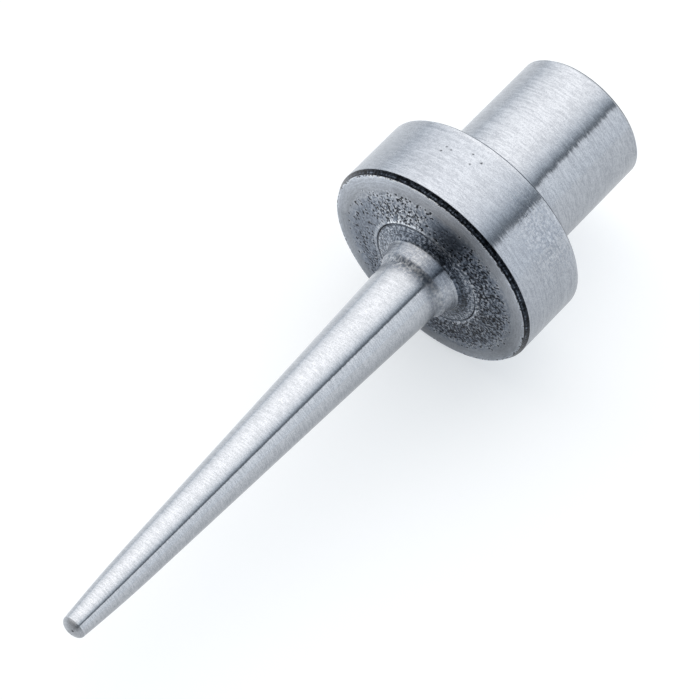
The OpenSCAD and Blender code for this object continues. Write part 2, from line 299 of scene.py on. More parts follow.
def scatter_marks(count, radii, degrees, sizes):
    """Pits or nicks scattered evenly between two radii and between two angles."""
    marks = []
    for _ in range(count):
        r = rng.uniform(*radii)
        angle = math.radians(rng.uniform(*degrees)) % (2 * math.pi)
        size = rng.uniform(*sizes)
        marks.append((r, angle, size, size * PIT_DEPTH_SHARE))
    return marks


def tool_streaks(r, angle, strength):
    """Brightness of fine concentric streaks, about 1, for a column of radii and the angles."""
    fine = np.sin(r[:, None] * 20.3 + 0.8 * np.sin(2 * angle[None, :]))
    broad = np.sin(r[:, None] * 7.9 + 1.7 * angle[None, :])
    return 1 + strength * fine * (0.5 + 0.5 * broad)


def turning_grooves(r, pitch, depth):
    """Concentric tool marks: a rounded ridge every pitch, with a varied depth."""
    wave = 0.5 - 0.5 * np.cos(2 * math.pi * r / pitch)
    vary = 0.6 + 0.4 * np.sin(r * 3.7 + 1.0) * np.sin(r * 9.1)
    return depth * wave * vary


def face_density(degrees):
    """Share of pits kept at an angle round the face: most of them are on one side, and a
    sector on top is nearly free of them."""
    return profile(degrees, PIT_SHARE)


def bump_curve(value, middle, width):
    """1 at the middle, falling smoothly to 0 at a distance of width."""
    return np.clip(1 - ((value - middle) / width) ** 2, 0, 1) ** 1.5


def cover_finish(x, r, angle):
    """The front face is pitted in a broad ring and hazy near the rim. Its brightness carries
    painted
    light and shade: painted shade in the running gap with a painted highlight ring beside it, a
    darker painted reflection over the middle, painted light on the upper side with a narrow
    painted dark sector, and a painted highlight on the rim's edge. The chamfer is painted near
    black for a dark reflection, with a patchy lighter line."""
    face = ((x < RIM_X + 0.01) & (r < RIM_R) & (r > COVER_BORE_R + 0.02))[:, None]
    pits = scatter_pits(count=4600, r_low=COVER_BORE_R + 0.4, r_high=13.4, sizes=(0.1, 0.2),
                        density=face_density)
    pits += scatter_marks(count=170, radii=(RIM_R - 0.14, RIM_R), degrees=(0, 360),
                          sizes=(0.08, 0.17))
    pits += scatter_marks(count=26, radii=(9.2, 12.6), degrees=(-20, 42), sizes=(0.17, 0.24))
    dips, rim_glints = pit_marks(pits, r, angle, face[:, 0])
    near_collar = np.clip((10.0 - r) / 2.0, 0, 1)[:, None]
    sunk = dips + turning_grooves(r, pitch=0.3, depth=0.012)[:, None] * near_collar * face
    degrees = np.degrees(angle)
    density = face_density(degrees)
    ring = profile(r, [(COVER_BORE_R, 0.8), (8.4, 1), (11.2, 0.9), (13.6, 0)])[:, None]
    # Painted shade in the running gap, a painted highlight ring beside it, a darker painted
    # reflection over the middle, lighter towards the rim, and a painted highlight on the rim's
    # edge.
    tone = profile(r, [(COVER_BORE_R, 0.2), (COVER_BORE_R + 0.08, 0.3),
                       (COVER_BORE_R + 0.15, 0.85), (COVER_BORE_R + 0.4, 0.75),
                       (COVER_BORE_R + 0.7, 0.45), (11.6, 0.42), (13.6, 0.95),
                       (RIM_R - 0.4, 1.15), (RIM_R, 1.5)])[:, None]
    # Painted light on the upper side of the pitted ring and of the rim band.
    painted_light_ring = 0.9 * bump_curve(degrees, middle=72, width=48)[None, :] * ring
    painted_light_rim = 0.55 * bump_curve(degrees, middle=70, width=85)[None, :] * (1 - ring)
    # A painted dark sector in the ring, for a dark reflection.
    painted_dark_sector = 0.45 * bump_curve(degrees, middle=104, width=22)[None, :] * ring
    tone = tone * (1 - 0.15 * ring * density - painted_dark_sector) * (1 + painted_light_ring + painted_light_rim)
    # Each pit's lighter rim is a painted glint.
    tone = tone * (1 + 0.6 * rim_glints) * tool_streaks(r, angle, strength=0.3 * near_collar)
    grit = ring * (0.35 + 0.65 * density)
    haze = profile(r, [(COVER_BORE_R, 0.5), (12, 0.7), (14, 2.2), (RIM_R, 2.4)])[:, None]
    chamfer = ((x > RIM_X + 0.02) & (x < SEAT_X - 0.02) & (r > RIM_R))[:, None]
    line = bump_curve(x, middle=RIM_X + 0.4 * RIM_CHAMFER_LEN, width=0.12)[:, None]
    patchy = rng.uniform(0.0, 1.0, len(angle))[None, :] ** 2
    # On the chamfer the brightness is painted near black, for a dark reflection, with a patchy
    # lighter line.
    layers = {"tone": (tone, 0.04 + 0.3 * line * patchy, 1), "grit": (grit, 1, 0),
              "haze": (haze, 0.3, 0)}
    given = {key: np.where(face, on_face, np.where(chamfer, on_chamfer, elsewhere)) + 0 * dips
             for key, (on_face, on_chamfer, elsewhere) in layers.items()}
    return sunk, {**given, "marks": np.clip(dips / FACE_DARK_DEPTH, 0, 1)}


TIP_PIT = (0.66, math.radians(132), 0.16, 0.05)     # its r, angle, radius and depth


def spindle_finish(x, r, angle):
    """Collar face with tool marks and painted shade: darker on one side, and at its outer edge by
    the running gap on the other sides; bright boss with a painted dark reflection band; rough
    hazy ring at the neck; and a dull tip with one pit."""
    ahead = RIM_X - x
    degrees = np.degrees(angle)
    root = (x < CROWN_X + 0.02) & (ahead < NECK + 2)
    collar = root & (ahead < BOSS_FOOT - 0.15)
    tip = x < TIP_X + TIP_LEN
    pits = scatter_pits(count=900, r_low=BOSS_FOOT_R + 0.4, r_high=COLLAR_R - 0.1,
                        sizes=(0.06, 0.13), density=face_density)
    dips, rim_glints = pit_marks(pits, r, angle, collar)
    dips += pit_marks([TIP_PIT], r, angle, tip)[0]
    grooves = turning_grooves(r + 0.35 * x, pitch=0.28, depth=0.01)
    neck = bump_curve(ahead, middle=NECK + 0.5, width=0.8) * root
    sunk = dips + np.where(root, grooves, 0)[:, None]
    # Painted shade on the collar face, standing in for the boss's dark reflection, deeper on one
    # side.
    painted_collar_shade = profile(r, [(5.9, 0.42), (6.3, 0.36), (6.7, 0.36), (7.1, 0.42),
                       (COLLAR_R, 0.5)])[:, None]
    painted_deep_shade = profile(r, [(5.9, 0.2), (6.3, 0.16), (6.7, 0.18), (7.1, 0.42),
                        (COLLAR_R, 0.55)])[:, None]
    deep_shade_side = bump_curve(degrees, middle=172, width=85)[None, :] ** 0.5
    tone = painted_collar_shade + (painted_deep_shade - painted_collar_shade) * deep_shade_side
    # Painted shade on the collar's outer edge by the running gap, away from the deeper-shaded
    # side.
    edge = profile(r, [(COLLAR_R - 0.22, 0), (COLLAR_R - 0.12, 1)])[:, None]
    tone = tone * (1 - 0.85 * edge * (1 - deep_shade_side)) * (1 + 0.6 * rim_glints)
    tone = tone * tool_streaks(r, angle, strength=0.4)
    boss_tone = np.where(root, 0.88, 1)[:, None]
    tone = np.where(collar[:, None], tone, boss_tone)
    # A painted dark reflection band along the boss, strongest at its foot.
    dark_band_end = NECK + 1.6
    toward_foot = np.clip((dark_band_end - ahead) / (dark_band_end - CROWN), 0, 1) * root
    painted_dark_band = bump_curve(degrees, middle=122, width=26)[None, :] * toward_foot[:, None] ** 0.6
    tone = tone * (1 - 0.5 * painted_dark_band * ~collar[:, None])
    rough_side = 0.25 + 0.75 * bump_curve(degrees, middle=80, width=60)[None, :]
    grit = np.where(collar, 0.9, 0.12 * root)[:, None] + 0.7 * neck[:, None] * rough_side
    haze = np.where(collar, 0.5, 0.3 * root) + 1.2 * neck + np.where(tip, 1.2, 0)
    given = {key: layer + 0 * dips
             for key, layer in (("tone", tone), ("grit", np.clip(grit, 0, 1)),
                                ("haze", haze[:, None]))}
    return sunk, {**given, "marks": np.clip(dips / DARK_DEPTH, 0, 1)}


# Pits on the head's side: mm behind the rim plane, angle in degrees, radius in mm
CLEAR_PIT = (8.0, 95.0, 0.17)
SMALL_PITS = 5
SMALL_PIT_BACK = (6.0, 9.0)
SMALL_PIT_TURN = (72, 92)
SMALL_PIT_SIZES = (0.1, 0.13)
FINE_BACK = (5.6, 9.2)              # the mesh is fine over this stretch


def side_pits():
    """The clear pit on the head's side, and small ones scattered in the patch beside it."""
    scatter = np.random.default_rng(8)
    small = [(scatter.uniform(*SMALL_PIT_BACK), scatter.uniform(*SMALL_PIT_TURN),
              scatter.uniform(*SMALL_PIT_SIZES))
             for _ in range(SMALL_PITS)]
    return [CLEAR_PIT] + small


def housing_finish(x, r, angle):
    """A few pits and a stained patch on the head's side, tool marks on the flat faces, painted
    shade on the edge break at the back of the head with a painted highlight band beside it, and
    painted shade and highlight on the edge break at the shank's end: dark beside the end face
    and bright beside the wall."""
    side = np.abs(r - HEAD_R) < 0.01
    step = 360 / len(angle)
    pits = [(RIM_X + back, math.radians(round(turn / step) * step) * HEAD_R, size, size * 0.5)
            for back, turn, size in side_pits()]
    dips = np.zeros((len(r), len(angle)))
    for pit_x, pit_round, size, depth in pits:
        away = (x[:, None] - pit_x) ** 2 + (angle[None, :] * HEAD_R - pit_round) ** 2
        dips = np.maximum(dips, depth * np.clip(1 - away / size ** 2, 0, 1) * side[:, None])
    shoulder = (np.abs(x) < 0.01) & (r > SHANK_R + 0.1) & (r < HEAD_R - HEAD_EDGE - 0.05)
    end = (np.abs(x - SHANK_END_X) < 0.01) & (r < SHANK_R - SHANK_EDGE - 0.05)
    grooves = np.where(shoulder | end, turning_grooves(r, pitch=0.45, depth=0.012), 0)
    head_edge = (x > 0.02 - HEAD_EDGE) & (x < -0.02) & (r > HEAD_R - HEAD_EDGE + 0.01)
    within_edge = SHANK_EDGE - 0.04
    shank_edge = (x > SHANK_END_X - within_edge) & (r > SHANK_R - within_edge)
    to_end = SHANK_END_X - x
    # Painted shade on the head's back edge break, painted shade then a painted highlight across
    # the shank's end edge break, and a painted highlight band on the head's side beside its back
    # edge.
    tone = np.where(head_edge, 0.22, 1)
    tone = np.where(shank_edge, profile(to_end, [(0.27, 0.05), (0.35, 1.35)]), tone)
    tone = np.where(side, profile(x, [(-0.9, 0.94), (-0.6, 1.08)]), tone)
    stain = bump_curve(angle, middle=math.radians(140), width=math.radians(32))[None, :]
    grit = 0.2 * stain * np.where(side, np.clip(1.2 - np.abs(x + 3) / 4, 0, 1), 0)[:, None]
    return dips + grooves[:, None], {"tone": tone[:, None] + 0 * dips, "grit": grit + 0 * dips,
                                     "marks": np.clip(dips / DARK_DEPTH, 0, 1)}


def plug_finish(x, r, angle):
    """Tool marks on the plug's outer face."""
    end = (np.abs(x - SHANK_END_X) < 0.01) & (r < PLUG_R - PLUG_EDGE - 0.05) & (r > 0.1)
    grooves = np.where(end, turning_grooves(r, pitch=0.4, depth=0.012), 0)
    return grooves[:, None] + 0 * angle[None, :], {}


# ---------------------------------------------------------------- shader helpers
def add(tree, kind, settings=None, **inputs):
    """A new node; inputs are values, or sockets to link from, by name with _ for a space."""
    node = tree.nodes.new(kind)
    for key, value in (settings or {}).items():
        setattr(node, key, value)
    for key, value in inputs.items():
        name = key.replace("_", " ")
        socket = node.inputs[int(name[1:])] if name[0] == "i" and name[1:].isdigit() \
            else node.inputs[name]
        if isinstance(value, bpy.types.NodeSocket):
            tree.links.new(value, socket)
        else:
            socket.default_value = value
    return node


def maths(tree, operation, *values):
    """A Math node's output."""
    node = tree.nodes.new("ShaderNodeMath")
    node.operation = operation
    for socket, value in zip(node.inputs, values):
        if isinstance(value, bpy.types.NodeSocket):
            tree.links.new(value, socket)
        else:
            socket.default_value = value
    return node.outputs[0]


def remap(tree, value, low, high, to_low, to_high):
    """A value carried from one range to another, and held within it."""
    node = add(tree, "ShaderNodeMapRange", {"clamp": True}, Value=value)
    for name, number in (("From Min", low), ("From Max", high),
                         ("To Min", to_low), ("To Max", to_high)):
        node.inputs[name].default_value = number
    return node.outputs["Result"]


def mix_colour(tree, factor, a, b):
    """Colour a at factor 0, colour b at factor 1."""
    node = tree.nodes.new("ShaderNodeMix")
    node.data_type = "RGBA"
    for socket, value in ((node.inputs[0], factor), (node.inputs[6], a), (node.inputs[7], b)):
        if isinstance(value, bpy.types.NodeSocket):
            tree.links.new(value, socket)
        elif isinstance(value, tuple):
            socket.default_value = (*value, 1)
        else:
            socket.default_value = value
    return node.outputs[2]


def new_material(name):
    """A material, its node tree and its shader."""
    material = bpy.data.materials.new(name)
    material.use_nodes = True
    tree = material.node_tree
    return material, tree, tree.nodes["Principled BSDF"]


def object_position(tree):
    """Object coordinates in mm, and the distance from the X axis."""
    position = add(tree, "ShaderNodeTexCoord").outputs["Object"]
    scaled = add(tree, "ShaderNodeVectorMath", {"operation": "SCALE"}, i0=position)
    scaled.inputs["Scale"].default_value = 1 / MM
    x, y, z = add(tree, "ShaderNodeSeparateXYZ", Vector=scaled.outputs[0]).outputs
    squares = maths(tree, "ADD", maths(tree, "MULTIPLY", y, y), maths(tree, "MULTIPLY", z, z))
    return scaled.outputs[0], x, y, z, maths(tree, "SQRT", squares)


def brushed_noise(tree, place, across, along, detail=2.0, roughness=0.5):
    """Noise drawn out round the X axis: cycles per mm across the brushing and along it."""
    _, x, y, z, radius = place
    vector = add(tree, "ShaderNodeCombineXYZ",
                 X=maths(tree, "MULTIPLY", maths(tree, "ADD", x, radius), across),
                 Y=maths(tree, "MULTIPLY", y, along), Z=maths(tree, "MULTIPLY", z, along))
    return noise(tree, vector.outputs[0], 1.0, detail, roughness)


def noise(tree, vector, scale, detail=2.0, roughness=0.5):
    """A Noise Texture's value, 0 to 1."""
    return add(tree, "ShaderNodeTexNoise", Vector=vector, Scale=scale, Detail=detail,
               Roughness=roughness).outputs["Fac"]


def attribute(tree, name):
    """One of the point attributes that lathe() writes."""
    return add(tree, "ShaderNodeAttribute", {"attribute_name": name}).outputs["Fac"]


def sideways_normal(tree, place, amount):
    """The surface normal, turned a little round the X axis by an amount in radians."""
    _, _, y, z, radius = place
    safe = maths(tree, "MAXIMUM", radius, 0.01)
    around = add(tree, "ShaderNodeCombineXYZ", X=0.0,
                 Y=maths(tree, "MULTIPLY", maths(tree, "DIVIDE", z, safe), -1.0),
                 Z=maths(tree, "DIVIDE", y, safe)).outputs[0]
    world = add(tree, "ShaderNodeVectorTransform",
                {"vector_type": "VECTOR", "convert_from": "OBJECT", "convert_to": "WORLD"},
                Vector=around).outputs[0]
    push = add(tree, "ShaderNodeVectorMath", {"operation": "SCALE"}, i0=world, Scale=amount)
    normal = add(tree, "ShaderNodeNewGeometry").outputs["Normal"]
    total = add(tree, "ShaderNodeVectorMath", {"operation": "ADD"}, i0=normal,
                i1=push.outputs[0])
    return add(tree, "ShaderNodeVectorMath", {"operation": "NORMALIZE"},
               i0=total.outputs[0]).outputs[0]


# ---------------------------------------------------------------- materials
COOL_SHADE = (0.8, 0.94, 1.15)      # tint of the darkest steel
DIRT = (0.008, 0.009, 0.013)
LINE_HEIGHT = 0.002                 # heights in mm
GRAIN_HEIGHT = 0.0006
GRIT_HEIGHT = 0.06


def brushed_steel(name, light, dark, roughness, scatter, line_tone):
    """Turned or ground steel: brushed round the X axis, with strokes, grain and clouds.
    scatter is how far the brush lines tilt the surface round the axis, in degrees, and
    line_tone is how strongly they change its brightness."""
    material, tree, shader = new_material(name)
    place = object_position(tree)
    position = place[0]
    lines = brushed_noise(tree, place, across=3.4, along=0.1, detail=1.0, roughness=0.6)
    strokes = brushed_noise(tree, place, across=5.0, along=1.0, detail=2.0, roughness=0.6)
    grain = noise(tree, position, scale=6.6, detail=2.0, roughness=0.8)
    clouds = noise(tree, position, scale=0.25, detail=3.0, roughness=0.6)
    mottle = noise(tree, position, scale=2.6, detail=1.0, roughness=0.5)

    tone = remap(tree, clouds, 0.3, 0.7, 0.36, 0.64)
    for value, reach in ((lines, line_tone), (strokes, 0.5), (grain, 0.75)):
        tone = maths(tree, "ADD", tone, remap(tree, value, 0.25, 0.75, -reach, reach))
    colour = mix_colour(tree, tone, dark, light)

    grit = attribute(tree, "grit")
    specks = remap(tree, mottle, 0.38, 0.66, -0.7, 1.0)
    level = maths(tree, "ADD", 1.0, maths(tree, "MULTIPLY", specks, grit))
    # tone carries the painted light and shade of the finishes.
    level = maths(tree, "MULTIPLY", level, attribute(tree, "tone"))
    level = maths(tree, "MAXIMUM", level, 0.01)
    shade = add(tree, "ShaderNodeVectorMath", {"operation": "SCALE"}, i0=colour, Scale=level)
    cool = mix_colour(tree, remap(tree, level, 0.1, 1.0, 0, 1), COOL_SHADE, (1, 1, 1))
    shade = add(tree, "ShaderNodeVectorMath", {"operation": "MULTIPLY"}, i0=shade.outputs[0],
                i1=cool)
    marks = attribute(tree, "marks")
    colour = mix_colour(tree, marks, shade.outputs[0], DIRT)
    tree.links.new(colour, shader.inputs["Base Color"])

    rough = maths(tree, "ADD", roughness, remap(tree, clouds, 0.3, 0.7, -0.015, 0.015))
    rough = maths(tree, "ADD", rough, maths(tree, "MULTIPLY", attribute(tree, "haze"), 0.2))
    tree.links.new(rough, shader.inputs["Roughness"])

    tilt = remap(tree, lines, 0.25, 0.75, -math.radians(scatter), math.radians(scatter))
    height = maths(tree, "ADD", maths(tree, "MULTIPLY", lines, LINE_HEIGHT),
                   maths(tree, "MULTIPLY", grain, GRAIN_HEIGHT))
    height = maths(tree, "ADD", height,
                   maths(tree, "MULTIPLY", maths(tree, "MULTIPLY", mottle, grit), GRIT_HEIGHT))
    bump = add(tree, "ShaderNodeBump", Strength=1.0, Distance=MM, Height=height,
               Normal=sideways_normal(tree, place, tilt))
    tree.links.new(bump.outputs["Normal"], shader.inputs["Normal"])
    tangent = add(tree, "ShaderNodeTangent", {"direction_type": "RADIAL", "axis": "X"})
    tree.links.new(tangent.outputs["Tangent"], shader.inputs["Tangent"])
    shader.inputs["Metallic"].default_value = 1.0
    shader.inputs["Anisotropic"].default_value = 1.0
    shader.inputs["Anisotropic Rotation"].default_value = 0.25
    return material


def plain_metal(name, light, dark, roughness, scale, bump_mm=0.002):
    """Bearing, pressed and spring steel, and brass: even, with a fine mottled finish."""
    material, tree, shader = new_material(name)
    position = add(tree, "ShaderNodeTexCoord").outputs["Object"]
    clouds = noise(tree, position, scale, detail=3.0, roughness=0.6)
    grain = noise(tree, position, scale * 12, detail=2.0, roughness=0.6)
    tree.links.new(mix_colour(tree, remap(tree, clouds, 0.3, 0.7, 0, 1), dark, light),
                   shader.inputs["Base Color"])
    tree.links.new(remap(tree, grain, 0.3, 0.7, roughness * 0.8, roughness * 1.2),
                   shader.inputs["Roughness"])
    bump = add(tree, "ShaderNodeBump", Strength=0.5, Distance=bump_mm * MM, Height=grain)
    tree.links.new(bump.outputs["Normal"], shader.inputs["Normal"])
    shader.inputs["Metallic"].default_value = 1.0
    return material


def soft_matter(name, light, dark, roughness, scale, bump_mm):
    """Felt and rubber: matte, with a fine fibrous or grainy surface."""
    material, tree, shader = new_material(name)
    position = add(tree, "ShaderNodeTexCoord").outputs["Object"]
    grain = noise(tree, position, scale, detail=4.0, roughness=0.65)
    tree.links.new(mix_colour(tree, remap(tree, grain, 0.3, 0.7, 0, 1), dark, light),
                   shader.inputs["Base Color"])
    tree.links.new(remap(tree, grain, 0.3, 0.7, roughness - 0.06, roughness + 0.06),
                   shader.inputs["Roughness"])
    bump = add(tree, "ShaderNodeBump", Strength=0.8, Distance=bump_mm * MM, Height=grain)
    tree.links.new(bump.outputs["Normal"], shader.inputs["Normal"])
    return material


# How bright the metal sees the floor, a painted shadow near the axis on the -Y side and painted
# light on the +Y side: distance from the axis towards +Y in mm, factor
FLOOR_SIDES = [(-120, 0.98), (-50, 0.92), (-25, 0.76), (-5, 0.68), (0, 0.74), (14, 1.2),
               (30, 1.12), (60, 1.08), (120, 1.06)]
SIDE_MAX = 1.2
FLOOR_GREY = 0.45
FLOOR_TINT = (0.925, 0.965, 1.0, 1)
FLOOR_GLOW = 0.62


def floor_paint():
    """White acrylic that glows a little, so that shadows stay pale. The camera sees it evenly
    bright. The metal sees a painted shadow on it near the axis towards -Y, and painted light
    towards +Y."""
    material, tree, shader = new_material("studio_floor")
    shader.inputs["Base Color"].default_value = (FLOOR_GREY, FLOOR_GREY, FLOOR_GREY, 1)
    shader.inputs["Roughness"].default_value = 0.9
    shader.inputs["Specular IOR Level"].default_value = 0.0
    shader.inputs["Emission Color"].default_value = FLOOR_TINT
    _, _, y, _, _ = object_position(tree)
    first, last = FLOOR_SIDES[0][0], FLOOR_SIDES[-1][0]
    ramp = add(tree, "ShaderNodeValToRGB", Fac=remap(tree, y, first, last, 0, 1))
    elements = ramp.color_ramp.elements
    for k, (side, level) in enumerate(FLOOR_SIDES):
        at = (side - first) / (last - first)
        element = elements[k] if k < 2 else elements.new(at)
        element.position = at
        share = level / SIDE_MAX
        element.color = (share, share, share, 1)
    seen = maths(tree, "MULTIPLY", ramp.outputs["Color"], SIDE_MAX)
    direct = add(tree, "ShaderNodeLightPath").outputs["Is Camera Ray"]
    level = maths(tree, "ADD", maths(tree, "MULTIPLY", direct, maths(tree, "SUBTRACT", 1, seen)),
                  seen)
    tree.links.new(maths(tree, "MULTIPLY", level, FLOOR_GLOW), shader.inputs["Emission Strength"])
    return material


# ---------------------------------------------------------------- the visible pieces
def cone_r(ahead):
    """Radius of the point at a distance ahead of the rim plane."""
    radius = CONE_ROOT_R - CONE_SLOPE * ahead
    curve = ahead - (POINT_LEN - TIP_LEN - NOSE_LEN)
    return radius - max(0, curve) ** 2 / (2 * NOSE_CURVE_R)


def boss_r(ahead):
    """Radius of the boss at the point's root, which blends into the cone at the neck."""
    share = min(1, max(0, (ahead - NECK) / NECK_LEN))
    share = share * share * (3 - 2 * share)
    straight = BOSS_FOOT_R - BOSS_SLOPE * (ahead - BOSS_FOOT)
    return straight + share * (cone_r(ahead) - straight)


def make_housing():
    """Head and shank in one piece, bored from both ends."""
    outer = [
        (SHANK_END_X, PLUG_R + MOUTH_EDGE, 0), (SHANK_END_X, SHANK_R - SHANK_EDGE, 0.05),
        (SHANK_END_X - SHANK_EDGE, SHANK_R, 0.08), (0.0, SHANK_R, 0.06),
        (0.0, HEAD_R - HEAD_EDGE, 0.06), (-HEAD_EDGE, HEAD_R, 0.06), (SEAT_X, HEAD_R, 0.04),
        (SEAT_X, SPIGOT_R, SHARP),
    ]
    bore_x, race_floor_x = SPIGOT_X + SPIGOT_GAP, RACE_REAR_X + SEAT_GAP
    inner = [
        (bore_x, SPIGOT_R), (bore_x, RACE_R), (race_floor_x, RACE_R), (race_floor_x, THRUST_R),
        (THRUST_REAR_X, THRUST_R), (THRUST_REAR_X, WEB_BORE_R), (CUP_FRONT_X, WEB_BORE_R),
        (CUP_FRONT_X, CUP_R), (CUP_REAR_X, CUP_R), (CUP_REAR_X, PLUG_R),
        (SHANK_END_X - MOUTH_EDGE, PLUG_R),
    ]
    corners = outer + [(x, r, SHARP) for x, r in inner] + [(*outer[0][:2], 0)]

    def spacing(x, r):
        """Close together where there are pits, tool marks or an edge break."""
        if r > HEAD_R - 0.1:
            return 0.09 if RIM_X + FINE_BACK[0] < x < RIM_X + FINE_BACK[1] else 0.6
        if x > SHANK_END_X - 0.48 and r > SHANK_R - 0.48:
            return 0.1
        on_face = abs(x) < 0.01 or (x > SHANK_END_X - 0.01 and r > PLUG_R + 0.1)
        return 0.15 if on_face else 4.0

    outline = refined(rounded(corners), spacing)[:-1]
    return lathe("housing_turned", "body", "housing", outline, HOUSING_SEGMENTS,
                 housing_finish, closed=True)


def make_front_cover():
    """The crowned face, the chamfered rim and the spigot, with the grooves of both seals."""
    relief_x = SPIGOT_X - RELIEF_LEN
    groove_r = SPIGOT_R - O_RING_GROOVE_DEPTH
    groove_mid = (O_RING_FRONT_X + O_RING_REAR_X) / 2
    groove_front, groove_rear = groove_mid - O_RING_GROOVE_HALF, groove_mid + O_RING_GROOVE_HALF
    corners = [
        (CROWN_X, COVER_BORE_R + GAP_EDGE, 0),
        (RIM_X, RIM_R, 0.05), (SEAT_X, HEAD_R, 0.03), (SEAT_X, SPIGOT_R, SHARP),
        (groove_front, SPIGOT_R, SHARP), (groove_front, groove_r, SHARP),
        (groove_rear, groove_r, SHARP), (groove_rear, SPIGOT_R, SHARP),
        (SPIGOT_X - SPIGOT_EDGE, SPIGOT_R, SHARP), (SPIGOT_X, SPIGOT_R - SPIGOT_EDGE, SHARP),
        (SPIGOT_X, RELIEF_R, SHARP), (relief_x, RELIEF_R, SHARP),
        (relief_x, COVER_BORE_R, SHARP),
        (SEAL_REAR_X, COVER_BORE_R, SHARP), (SEAL_REAR_X, SEAL_R, SHARP),
        (SEAL_FRONT_X, SEAL_R, SHARP), (SEAL_FRONT_X, COVER_BORE_R, SHARP),
        (CROWN_X + GAP_EDGE, COVER_BORE_R, SHARP), (CROWN_X, COVER_BORE_R + GAP_EDGE, 0),
    ]

    def spacing(x, r):
        """Close together on the face and on the chamfer."""
        if x < RIM_X + 0.01 and r > COVER_BORE_R:
            return 0.1
        return 0.06 if r > RIM_R else 3.0

    outline = refined(rounded(corners), spacing)[:-1]
    return lathe("front_cover_turned", "body", "front_cover", outline, COVER_SEGMENTS,
                 cover_finish, closed=True)


def make_spindle():
    """The stepped journal, the collar, the boss and the long point, in one piece."""
    journal_x = RACE_REAR_X - JOURNAL_GAP
    stem = [
        (STEM_END_X, 0, 0), (STEM_END_X, STEM_R - STEM_EDGE, 0.03),
        (STEM_END_X - STEM_EDGE, STEM_R, 0.03),
        (CIRCLIP_END_X, STEM_R, SHARP), (CIRCLIP_END_X, CIRCLIP_GROOVE_R, SHARP),
        (CIRCLIP_X, CIRCLIP_GROOVE_R, SHARP), (CIRCLIP_X, STEM_R, SHARP),
        (journal_x, STEM_R, SHARP), (journal_x, JOURNAL_R - JOURNAL_EDGE, SHARP),
        (journal_x - JOURNAL_EDGE, JOURNAL_R, SHARP), (RACE_FRONT_X, JOURNAL_R, SHARP),
        (RACE_FRONT_X, ABUTMENT_R, SHARP), (COLLAR_BACK_X, ABUTMENT_R, SHARP),
        (COLLAR_BACK_X, COLLAR_R, SHARP), (CROWN_X + GAP_EDGE, COLLAR_R, SHARP),
        (CROWN_X, COLLAR_R - GAP_EDGE, 0),
    ]
    foot = np.array([FILLET_FOOT, FILLET_FOOT_R])
    corner = np.array([FILLET_CORNER, FILLET_CORNER_R])
    top = np.array([BOSS_FOOT, BOSS_FOOT_R])
    fillet = [(1 - t) ** 2 * foot + 2 * t * (1 - t) * corner + t * t * top
              for t in np.linspace(0, 1, 11)]
    boss = [np.array([a, boss_r(a)]) for a in np.linspace(BOSS_FOOT, NECK + NECK_LEN, 32)[1:]]
    root = [np.array([RIM_X - a, r]) for a, r in fillet + boss]
    cone = [np.array([RIM_X - a, cone_r(a)])
            for a in np.linspace(NECK + NECK_LEN, POINT_LEN - TIP_LEN, 90)[1:]]
    tip_edge_r = cone_r(POINT_LEN - TIP_LEN)
    tip = [np.array([TIP_X + TIP_LEN * (1 - math.sin(a)),
                     TIP_FLAT_R + (tip_edge_r - TIP_FLAT_R) * math.cos(a)])
           for a in np.linspace(0, math.pi / 2, 17)[1:]]
    tip += [np.array([TIP_X, TIP_FLAT_R * share]) for share in (0.6, 0.25, 0)]
    outline = refined(rounded(stem), lambda x, r: 3.0)[:-1]
    collar = [np.array([CROWN_X, COLLAR_R - GAP_EDGE]), root[0]]
    outline += refined(collar, lambda x, r: 0.08)[:-1] + root + cone + tip
    return lathe("point_spindle_turned", "spindle", "point_spindle", outline, SPINDLE_SEGMENTS,
                 spindle_finish)


def make_rear_plug():
    """The disc that closes the shank's bore."""
    corners = [
        (PLUG_X, 0, 0), (PLUG_X, PLUG_R - PLUG_INNER_EDGE, SHARP),
        (PLUG_X + PLUG_INNER_EDGE, PLUG_R, SHARP), (SHANK_END_X - PLUG_EDGE, PLUG_R, 0.03),
        (SHANK_END_X, PLUG_R - PLUG_EDGE, 0.04), (SHANK_END_X, 0, 0),
    ]
    outline = refined(rounded(corners), lambda x, r: 0.15 if x > SHANK_END_X - 0.01 else 2.0)
    return lathe("rear_plug_turned", "body", "rear_plug", outline[::-1], PLUG_SEGMENTS,
                 plug_finish)


SLOT_MATERIALS = {
    "turned_steel": brushed_steel("turned_steel", light=(0.48, 0.505, 0.545),
                                  dark=(0.32, 0.34, 0.375), roughness=0.22, scatter=1.6,
                                  line_tone=0.26),
    "point_steel": brushed_steel("point_steel", light=(0.5, 0.52, 0.555),
                                 dark=(0.35, 0.37, 0.4), roughness=0.14, scatter=0.5,
                                 line_tone=0.12),
    "bearing_steel": plain_metal("bearing_steel", light=(0.66, 0.67, 0.69),
                                 dark=(0.58, 0.59, 0.61), roughness=0.12, scale=500),
    "pressed_steel": plain_metal("pressed_steel", light=(0.58, 0.58, 0.57),
                                 dark=(0.46, 0.46, 0.45), roughness=0.32, scale=700),
    "spring_steel": plain_metal("spring_steel", light=(0.24, 0.24, 0.27),
                                dark=(0.13, 0.13, 0.15), roughness=0.38, scale=600),
    "cage_brass": plain_metal("cage_brass", light=(0.78, 0.60, 0.30), dark=(0.62, 0.45, 0.2),
                              roughness=0.28, scale=500),
    "felt": soft_matter("felt", light=(0.25, 0.22, 0.19), dark=(0.12, 0.1, 0.09),
                        roughness=0.9, scale=3000, bump_mm=0.04),
    "seal_rubber": soft_matter("seal_rubber", light=(0.035, 0.035, 0.037),
                               dark=(0.02, 0.02, 0.02), roughness=0.6, scale=2500,
                               bump_mm=0.004),
}

